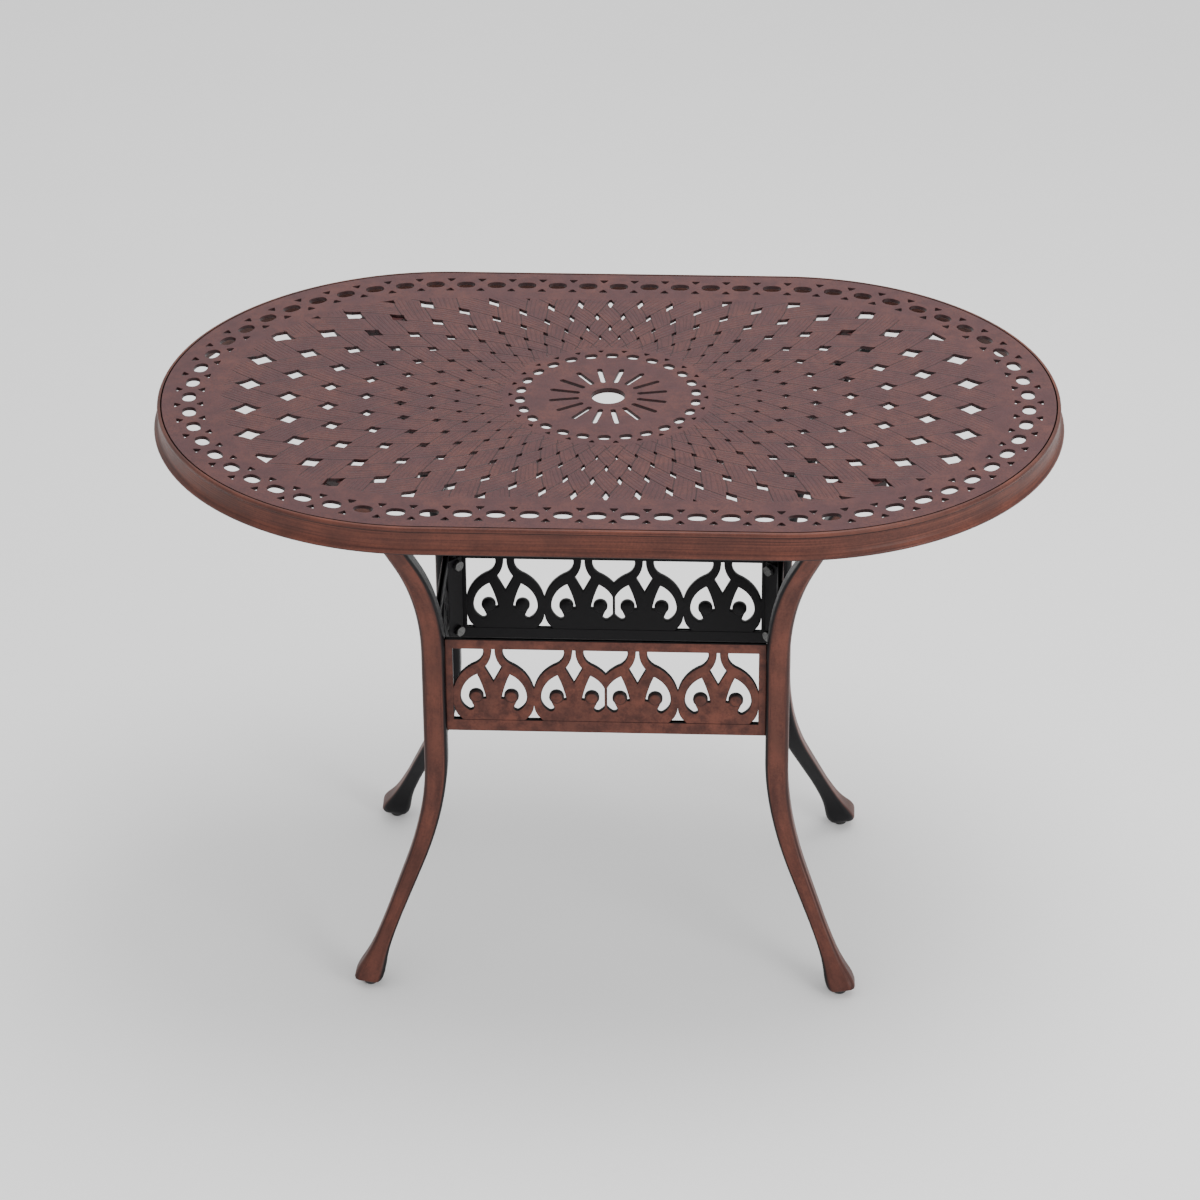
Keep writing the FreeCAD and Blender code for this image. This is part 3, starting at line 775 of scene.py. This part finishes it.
def ear(half_length, first_seat):
    """The ear at the panel's right end, turned to lie on the post's inner corner."""
    outline = rounded(rectangle(-EAR_ROOT, -EAR_HEIGHT / 2, EAR_REACH, EAR_HEIGHT / 2), 0.003)
    mesh = flat_casting([outline], EAR_THICKNESS, 0.0006)
    post = Vector((half_length + STILE + LEG_WIDTH / 2, PANEL_HEIGHT / 2, 0))
    inward = Vector((-1, 0, -1)).normalized()
    along = Vector((1, 0, -1)).normalized()
    turn = Matrix((along, UP.yzx, inward)).transposed().to_4x4()
    return moved(mesh, Matrix.Translation(post + inward * (first_seat + EAR_THICKNESS / 2)) @ turn)


def panel_mesh(half_length, pairs, first_seat):
    """All meshes of a panel, standing up with the outer face towards -Y and its bottom at Z = 0."""
    outer = half_length + STILE
    edge = rectangle(-outer, 0, outer, PANEL_HEIGHT)
    inside = rectangle(-half_length, BOTTOM_RAIL, half_length, PANEL_HEIGHT - TOP_RAIL)
    meshes = [
        flat_casting([edge] + panel_openings(pairs), WEB_THICKNESS, WEB_BEVEL, 4),
        flat_casting([edge, inside], FRAME_THICKNESS, 0.0010),
    ]
    dome = ball_dome()
    for pair in range(pairs):
        stem = MIDDLE_HALF + 2 * pair * MOTIF_HALF
        for x in (stem - BALL_OUT, stem + BALL_OUT, -stem - BALL_OUT, -stem + BALL_OUT):
            for face in (1, -1):
                place = Vector((x, BALL_UP, face * (WEB_THICKNESS / 2 - 0.0002)))
                meshes.append(moved(dome.copy(), standing(place, UP * face)))
    right_ear = ear(half_length, first_seat)
    meshes += [right_ear, moved(right_ear.copy(), Matrix.Diagonal((-1, 1, 1, 1)))]
    upright = Matrix.Rotation(math.pi / 2, 4, "X")
    return [moved(mesh, upright) for mesh in meshes]


def panels():
    material = bronze("bronze_panels", panel_brushing_and_shade, OBJECT_STREAKS, SIDE_COLOURS)
    places = {
        "front": (2, 0, (0, -POST_Y)),
        "rear": (2, 180, (0, POST_Y)),
        "right": (1, 90, (POST_X, 0)),
        "left": (1, -90, (-POST_X, 0)),
    }
    for name, (pairs, turn, (x, y)) in places.items():
        half_length = LONG_PANEL_HALF if pairs == 2 else SHORT_PANEL_HALF
        first_seat = PAD_DEPTH if pairs == 2 else PAD_DEPTH + EAR_THICKNESS
        meshes = panel_mesh(half_length, pairs, first_seat)
        made = piece(name + "_scroll_panel", meshes, material, [name + "_panel"])
        turned_place = Matrix.Rotation(math.radians(turn), 4, "Z")
        made.matrix_world = Matrix.Translation((x, y, PANEL_BOTTOM)) @ turned_place
        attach(made, "table")


# Fasteners and glides


def hexagon_bolt(length):
    """A bolt with a chamfered hexagon head below Z = 0 and its shank above."""
    across = BOLT_HEAD / 2
    steps = 48
    rings = []
    heights = (0, 0.0002, 0.0006, 0.0012, 0.0042, 0.0048, BOLT_HEAD_HEIGHT)
    corner_reaches = (1.00, 1.05, 1.10, 1.16, 1.16, 1.16, 1.16)
    for height, corner_reach in zip(heights, corner_reaches):
        ring = []
        for step in range(steps):
            turn = 2 * math.pi * step / steps
            past_flat = (turn + math.pi / 6) % (math.pi / 3) - math.pi / 6
            radius = min(across / math.cos(past_flat), across * corner_reach)
            ring.append((radius * math.cos(turn), radius * math.sin(turn), height - BOLT_HEAD_HEIGHT))
        rings.append(ring)
    tip = [(BOLT_RADIUS, length - 0.001), (BOLT_RADIUS - 0.001, length)]
    shank = turned([(BOLT_RADIUS, -0.001)] + tip, 32)
    return [lofted(rings), shank]


def bolts():
    material = brushed_steel()
    top_length = FLANGE_THICKNESS + BOLT_GRIP - 2 * HOLE_END_GAP
    stack_height = 2 * EAR_THICKNESS
    corner_length = stack_height + BOLT_GRIP
    top_bolts = []
    for point in leg_points_under_flange():
        place = standing(point + UP * FLANGE_BOTTOM)
        top_bolts += [moved(mesh, place) for mesh in hexagon_bolt(top_length)]
    corner_bolts = []
    for height in CORNER_BOLT_HEIGHTS:
        seat = Vector((POST_X, POST_Y, height)) - OUTWARD * (PAD_DEPTH + stack_height)
        corner_bolts += [moved(mesh, standing(seat, OUTWARD)) for mesh in hexagon_bolt(corner_length)]
    for corner, signs in CORNERS.items():
        for name, meshes in (("top_bolts_", top_bolts), ("corner_bolts_", corner_bolts)):
            copies = [at_corner(mesh, signs) for mesh in meshes]
            piece("hexagon_" + name + corner, copies, material, [name + corner])


def glides():
    material = moulded_black()
    base = turned([
        (0.0060, 0), (GLIDE_RADIUS - 0.0014, 0.0003), (GLIDE_RADIUS - 0.0004, 0.0012),
        (GLIDE_RADIUS, 0.0026), (GLIDE_RADIUS, 0.0062), (GLIDE_RADIUS - 0.0006, 0.0076),
        (GLIDE_RADIUS - 0.0020, 0.0086), (0.0055, FOOT_BOTTOM - 0.0001),
    ])
    stud = turned([
        (STUD_RADIUS, FOOT_BOTTOM - 0.0002), (STUD_RADIUS, FOOT_BOTTOM + STUD_LENGTH - 0.001),
        (STUD_RADIUS - 0.001, FOOT_BOTTOM + STUD_LENGTH),
    ], 32)
    place = Matrix.Translation((POST_X + GLIDE_SPREAD, POST_Y + GLIDE_SPREAD, 0))
    meshes = [moved(base, place), moved(stud, place)]
    for corner, signs in CORNERS.items():
        copies = [at_corner(mesh, signs) for mesh in meshes]
        piece("levelling_glide_" + corner, copies, material, ["foot_glide_" + corner],
              "glide_" + corner)


# Materials

OBJECT_STREAKS = ("Object", (60, 60, 60))
RIM_STREAKS = ("Object", (5, 5, 520))
UV_STREAKS = ("UV", (420, 9, 1))

# The dark coat: the unbrushed base colour, and also the painted shade on faces turned away from the light.
DARK_COAT_AND_PAINTED_SHADE = (0.0035, 0.0030, 0.0040, 1)
# The top's palette is bluer than the sides': its purple-brown tone with a painted sheen of the pale studio
# in it.
TOP_COLOURS_WITH_PAINTED_SHEEN = ((0.048, 0.019, 0.021, 1), (0.068, 0.027, 0.029, 1), (0.098, 0.036, 0.031, 1))
SIDE_COLOURS = ((0.046, 0.016, 0.013, 1), (0.090, 0.032, 0.023, 1), (0.138, 0.045, 0.030, 1))


def connect(tree, target, source):
    """Gives an input a value, or links it to another node's output."""
    if isinstance(source, bpy.types.NodeSocket):
        tree.links.new(source, target)
    else:
        target.default_value = source


def maths(tree, operation, *sources, clamp=False):
    node = tree.nodes.new("ShaderNodeMath")
    node.operation = operation
    node.use_clamp = clamp
    for target, source in zip(node.inputs, sources):
        connect(tree, target, source)
    return node.outputs[0]


def fade(tree, value, low, high):
    """0 below low and 1 above high, or the other way round where low is the larger."""
    node = tree.nodes.new("ShaderNodeMapRange")
    node.interpolation_type = "SMOOTHSTEP"
    for name, source in (("Value", value), ("From Min", low), ("From Max", high)):
        connect(tree, node.inputs[name], source)
    return node.outputs[0]


def blended(tree, share, first, second):
    node = tree.nodes.new("ShaderNodeMix")
    node.data_type = "RGBA"
    connect(tree, node.inputs["Factor"], share)
    connect(tree, node.inputs[6], first)
    connect(tree, node.inputs[7], second)
    return node.outputs[2]


def coordinates(tree, kind, scale=(1, 1, 1)):
    source = tree.nodes.new("ShaderNodeTexCoord").outputs[kind]
    mapping = tree.nodes.new("ShaderNodeMapping")
    mapping.inputs["Scale"].default_value = scale
    tree.links.new(source, mapping.inputs["Vector"])
    return mapping.outputs[0]


def noise(tree, vector, scale, detail=3.0, roughness=0.55):
    node = tree.nodes.new("ShaderNodeTexNoise")
    tree.links.new(vector, node.inputs["Vector"])
    node.inputs["Scale"].default_value = scale
    node.inputs["Detail"].default_value = detail
    node.inputs["Roughness"].default_value = roughness
    return node.outputs[0]


def split(tree, vector):
    node = tree.nodes.new("ShaderNodeSeparateXYZ")
    tree.links.new(vector, node.inputs[0])
    return node.outputs


def new_material(name):
    material = bpy.data.materials.new(name)
    material.use_nodes = True
    tree = material.node_tree
    return material, tree, tree.nodes["Principled BSDF"]


def bump(tree, shader, height):
    """Gives the shader a bump from a height in metres."""
    node = tree.nodes.new("ShaderNodeBump")
    node.inputs["Distance"].default_value = 1.0
    tree.links.new(height, node.inputs["Height"])
    tree.links.new(node.outputs[0], shader.inputs["Normal"])


def tabletop_brushing_and_shade(tree):
    """The brushed finish lies on what faces up and, thinly, on the walls of the openings. The dark
    underside and the darker walls are painted shade as well as unbrushed coat.
    """
    up = split(tree, coordinates(tree, "Normal"))["Z"]
    on_walls = maths(tree, "MULTIPLY", fade(tree, up, -0.6, -0.1), 0.4)
    return maths(tree, "MULTIPLY_ADD", fade(tree, up, 0.55, 0.95), 0.6, on_walls)


def rim_brushing_and_shade(tree):
    """The brushed finish lies on all but what faces down. The dark coat on the downward faces is also
    painted shade.
    """
    up = split(tree, coordinates(tree, "Normal"))["Z"]
    return fade(tree, up, -0.6, -0.1)


def panel_brushing_and_shade(tree):
    """The brushed finish lies only on a panel's flat outer face. The dark coat on its other faces and on
    the rounded edges of its openings is also painted shade.
    """
    return fade(tree, split(tree, coordinates(tree, "Normal"))["Y"], -0.75, -0.995)


def leg_brushing_and_shade(tree):
    """The brushed finish lies on a leg's outer sides, less on its rounded corners. The dark inner sides
    and the darker corners are painted shade as well as unbrushed coat.
    """
    normal = split(tree, coordinates(tree, "Normal"))
    place = split(tree, coordinates(tree, "Object"))
    parts = [maths(tree, "MULTIPLY", normal[axis], maths(tree, "SIGN", place[axis])) for axis in "XY"]
    outer_side = fade(tree, maths(tree, "ADD", *parts), -0.1, 0.5)
    less = maths(tree, "MINIMUM", *[maths(tree, "ABSOLUTE", normal[axis]) for axis in "XY"])
    # Rounded corners get less of the brushed finish: painted shade where they turn from the light.
    painted_corner_shade = maths(tree, "MULTIPLY_ADD", fade(tree, less, 0.30, 0.62), -0.6, 1)
    return maths(tree, "MULTIPLY", outer_side, painted_corner_shade)


def lattice_relief(tree):
    """Fine grooves along both families of straps, which pass over and under each other."""
    place = split(tree, coordinates(tree, "Object"))
    x, y = place["X"], place["Y"]
    squared = maths(tree, "ADD", maths(tree, "MULTIPLY", x, x), maths(tree, "MULTIPLY", y, y))
    radius = maths(tree, "SQRT", squared)
    angle = maths(tree, "ARCTAN2", y, x)
    middle, strap = STRAP_CENTRE_RADIUS, STRAP_RADIUS
    above = maths(tree, "ADD", squared, middle**2 - strap**2)
    below = maths(tree, "MULTIPLY", radius, 2 * middle)
    turn = maths(tree, "ARCCOSINE", maths(tree, "DIVIDE", above, below))
    pitch = 2 * math.pi / STRAP_COUNT
    first_turn = math.radians(LATTICE_TURN)
    outer_turn = strap_turn(OUTER_RING_RADIUS)
    # Half the gap between two straps grows outward, as a share of their pitch
    half_gap = maths(tree, "MULTIPLY_ADD", radius, GAP_SHARE_GROWTH, GAP_SHARE_AT_MIDDLE)
    steps, grooves = [], []
    for side in (1, -1):
        onward = maths(tree, "MULTIPLY_ADD", turn, side, angle)
        start = -first_turn - side * outer_turn
        count = maths(tree, "MULTIPLY_ADD", onward, 1 / pitch, start / pitch + STRAP_COUNT)
        steps.append(maths(tree, "FLOOR", count))
        from_gap = maths(tree, "PINGPONG", count, 0.5)
        across = maths(tree, "MULTIPLY", radius, 0.75 * pitch)
        offset = maths(tree, "MULTIPLY", maths(tree, "SUBTRACT", from_gap, half_gap), across)
        edge = fade(tree, maths(tree, "ABSOLUTE", offset), GROOVE_WIDTH, GROOVE_CORE)
        from_reed = maths(tree, "PINGPONG", offset, REED_SPACING / 2)
        reeds = fade(tree, from_reed, GROOVE_WIDTH, GROOVE_CORE)
        on_strap = maths(tree, "MULTIPLY", fade(tree, offset, 0.001, 0.002), 0.4)
        grooves.append(maths(tree, "MAXIMUM", edge, maths(tree, "MULTIPLY", reeds, on_strap)))
    over = maths(tree, "MODULO", maths(tree, "ADD", *steps), 2)
    under = maths(tree, "SUBTRACT", 1, over)
    first = maths(tree, "MULTIPLY", grooves[0], over)
    second = maths(tree, "MULTIPLY", grooves[1], under)
    from_straight = maths(tree, "SUBTRACT", maths(tree, "ABSOLUTE", x), HALF_STRAIGHT)
    past_straight = maths(tree, "MAXIMUM", from_straight, 0)
    reach = maths(tree, "SQRT", maths(
        tree, "ADD", maths(tree, "MULTIPLY", past_straight, past_straight), maths(tree, "MULTIPLY", y, y)
    ))
    inside = maths(tree, "MULTIPLY", fade(tree, reach, FIELD_RADIUS, FIELD_RADIUS - 0.004),
                   fade(tree, radius, 0.131, 0.135))
    return maths(tree, "MULTIPLY", maths(tree, "MAXIMUM", first, second), inside)


def bronze(name, brushing_and_shade, streak_map, colours, streak_share=0.8, relief=None):
    """Dark cast aluminium with a reddish bronze finish, brushed on where the part faces outward. The dark
    coat left on faces turned from the light is also painted shade.
    """
    deep, brown, red = colours
    material, tree, shader = new_material(name)
    place = coordinates(tree, "Object")
    blotches = noise(tree, place, 22, 4)
    speckle = noise(tree, place, 330, 3, 0.7)
    streaks = noise(tree, coordinates(tree, *streak_map), 1, 4, 0.65)
    warm = blended(tree, fade(tree, blotches, 0.30, 0.70), brown, red)
    speckled = maths(tree, "MULTIPLY", speckle, 1.1 - streak_share)
    wear = maths(tree, "MULTIPLY_ADD", streaks, streak_share, speckled)
    brushed = blended(tree, fade(tree, wear, 0.34, 0.72), deep, warm)
    # High on faces turned to the light, low on faces turned away: the brushed finish together with painted
    # light and shade.
    lit_brushed_share = brushing_and_shade(tree)
    grain = noise(tree, place, 700, 2)
    height = maths(tree, "MULTIPLY", grain, 0.00010)
    height = maths(tree, "MULTIPLY_ADD", streaks, 0.00006, height)
    if relief:
        grooves = relief(tree)
        # The grooves get less of the brushed finish: painted shade in them, besides their bump.
        lit_brushed_share = maths(tree, "MULTIPLY", lit_brushed_share, maths(tree, "MULTIPLY_ADD", grooves, -0.55, 1))
        height = maths(tree, "MULTIPLY_ADD", grooves, -GROOVE_DEPTH, height)
    colour = blended(tree, lit_brushed_share, DARK_COAT_AND_PAINTED_SHADE, brushed)
    tree.links.new(colour, shader.inputs["Base Color"])
    roughness = maths(tree, "MULTIPLY_ADD", speckle, 0.25, 0.30)
    tree.links.new(roughness, shader.inputs["Roughness"])
    shader.inputs["Specular IOR Level"].default_value = 0.19
    bump(tree, shader, height)
    return material


def brushed_steel():
    material, tree, shader = new_material("zinc_plated_steel")
    place = coordinates(tree, "Object")
    tarnish = noise(tree, place, 900, 4, 0.6)
    colour = blended(tree, fade(tree, tarnish, 0.3, 0.7), (0.07, 0.07, 0.07, 1), (0.20, 0.20, 0.195, 1))
    tree.links.new(colour, shader.inputs["Base Color"])
    tree.links.new(maths(tree, "MULTIPLY_ADD", tarnish, 0.3, 0.2), shader.inputs["Roughness"])
    shader.inputs["Metallic"].default_value = 1.0
    bump(tree, shader, maths(tree, "MULTIPLY", tarnish, 0.00003))
    return material


def moulded_black():
    material, tree, shader = new_material("black_moulded_glide")
    grain = noise(tree, coordinates(tree, "Object"), 1400, 3)
    colour = blended(tree, grain, (0.010, 0.010, 0.011, 1), (0.028, 0.027, 0.027, 1))
    tree.links.new(colour, shader.inputs["Base Color"])
    tree.links.new(maths(tree, "MULTIPLY_ADD", grain, 0.3, 0.4), shader.inputs["Roughness"])
    bump(tree, shader, maths(tree, "MULTIPLY", grain, 0.00004))
    return material


def pale_floor():
    material, tree, shader = new_material("pale_studio_floor")
    mottle = noise(tree, coordinates(tree, "Object"), 3, 3)
    colour = blended(tree, mottle, (0.91, 0.91, 0.91, 1), (0.94, 0.94, 0.94, 1))
    tree.links.new(colour, shader.inputs["Base Color"])
    shader.inputs["Roughness"].default_value = 0.9
    shader.inputs["Specular IOR Level"].default_value = 0.1
    return material


# Studio


def floor():
    shape = bmesh.new()
    bmesh.ops.create_circle(shape, cap_ends=True, radius=30, segments=96)
    mesh = bpy.data.meshes.new("studio_floor")
    shape.to_mesh(mesh)
    shape.free()
    mesh.materials.append(pale_floor())
    made = bpy.data.objects.new("studio_floor", mesh)
    bpy.context.scene.collection.objects.link(made)


def area_light(name, place, target, size, power):
    light = bpy.data.lights.new(name, "AREA")
    light.shape = "DISK"
    light.size = size
    light.energy = power
    made = bpy.data.objects.new(name, light)
    bpy.context.scene.collection.objects.link(made)
    direction = Vector(target) - Vector(place)
    made.matrix_world = standing(Vector(place), -direction.normalized())


def studio_light():
    world = bpy.data.worlds.new("studio")
    world.use_nodes = True
    background = world.node_tree.nodes["Background"]
    background.inputs["Color"].default_value = (1.0, 1.0, 1.0, 1)
    background.inputs["Strength"].default_value = 1.1
    bpy.context.scene.world = world
    area_light("overhead_softbox", (0.5, 0.2, 3.2), (0, 0, 0), 1.8, 70)
    area_light("key_light", (2.6, -2.4, 1.5), (0, 0, 0.5), 1.6, 55)


def camera():
    """The photograph's view: from the front, 30 degrees down, with a little roll and turn."""
    pitch, roll, turn = 0.525, -0.0083, 0.051
    across = Vector((math.cos(turn), math.sin(turn), 0))
    ahead = Vector((-math.sin(turn), math.cos(turn), 0))
    forward = ahead * math.cos(pitch) - UP * math.sin(pitch)
    upward = ahead * math.sin(pitch) + UP * math.cos(pitch)
    right = math.cos(roll) * across + math.sin(roll) * upward
    top = math.cos(roll) * upward - math.sin(roll) * across
    lens = bpy.data.cameras.new("camera")
    lens.sensor_width = 36
    lens.lens = 137.4
    lens.clip_end = 100
    made = bpy.data.objects.new("camera", lens)
    bpy.context.scene.collection.objects.link(made)
    turn_matrix = Matrix((right, top, -forward)).transposed().to_4x4()
    made.matrix_world = Matrix.Translation((0.248, -5.102, 3.422)) @ turn_matrix
    bpy.context.scene.camera = made


tabletop()
legs()
panels()
bolts()
glides()
floor()
studio_light()
camera()

bpy.context.view_layer.update()
